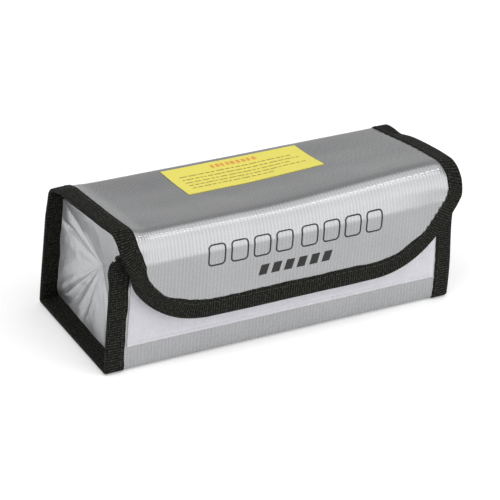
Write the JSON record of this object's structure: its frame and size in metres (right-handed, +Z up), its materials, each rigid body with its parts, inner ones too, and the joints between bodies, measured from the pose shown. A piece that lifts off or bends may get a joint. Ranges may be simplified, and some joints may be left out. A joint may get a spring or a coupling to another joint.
{
  "type": "lipo safe bag",
  "caption": "Fire-resistant cloth battery bag: a bound box-shaped tube with pushed-in end gussets, a lid and a hook-and-loop front flap.",
  "frame": {"origin": "centre of the closed bag's footprint on the surface it stands on: halfway along, halfway between the back binding and the flap's face", "axes": "+X along the bag, +Y from the flap side to the back, +Z up"},
  "size_m": [0.185, 0.0765, 0.0671],
  "materials": {
    "silver_cloth": "aluminium-coated glass-fibre cloth, fine ribbed weave, satin metallic sheen",
    "silver_gusset": "crumpled aluminium-coated glass-fibre cloth, bright satin",
    "lining_cloth": "plain woven glass-fibre cloth, off-white, matt",
    "binding_tape": "ribbed woven polyester tape, matt black",
    "black_thread": "polyester sewing thread, slight sheen",
    "pale_thread": "polyester sewing thread, slight sheen",
    "loop_fabric": "brushed nylon loop pile, matt white",
    "hook_fabric": "woven nylon hook tape, matt white",
    "yellow_label": "printed vinyl film, satin"
  },
  "bodies": {
    "bag": {"outer_wrap": "silver_cloth", "inner_lining": "lining_cloth", "left_gusset": "silver_gusset", "right_gusset": "silver_gusset", "left_gusset_lining": "lining_cloth", "right_gusset_lining": "lining_cloth", "left_gusset_hem": "silver_gusset", "right_gusset_hem": "silver_gusset", "left_end_binding": "binding_tape", "right_end_binding": "binding_tape", "left_end_stitching": "black_thread", "right_end_stitching": "black_thread", "mouth_binding": "binding_tape", "loop_strip": "loop_fabric", "loop_strip_stitching": "pale_thread"},
    "lid": {"lid_panel": "silver_cloth", "lid_lining": "lining_cloth", "left_lid_binding": "binding_tape", "right_lid_binding": "binding_tape", "lid_binding_stitching": "black_thread", "lid_label": "yellow_label", "fold_stitching": "pale_thread"},
    "flap": {"flap_panel": "silver_cloth", "flap_lining": "lining_cloth", "flap_binding": "binding_tape", "flap_binding_stitching": "black_thread", "hook_strip": "hook_fabric", "hook_strip_stitching": "pale_thread"}
  },
  "joints": [
    {"name": "lid_hinge", "type": "hinge", "parent": "bag", "child": "lid", "pos_m": [0, 0.0332, 0.0605], "axis": [-1, 0, 0], "range_deg": [0, 180]},
    {"name": "flap_hinge", "type": "hinge", "parent": "lid", "child": "flap", "pos_m": [0, -0.0267, 0.06789], "axis": [-1, 0, 0], "range_deg": [0, 180]}
  ]
}
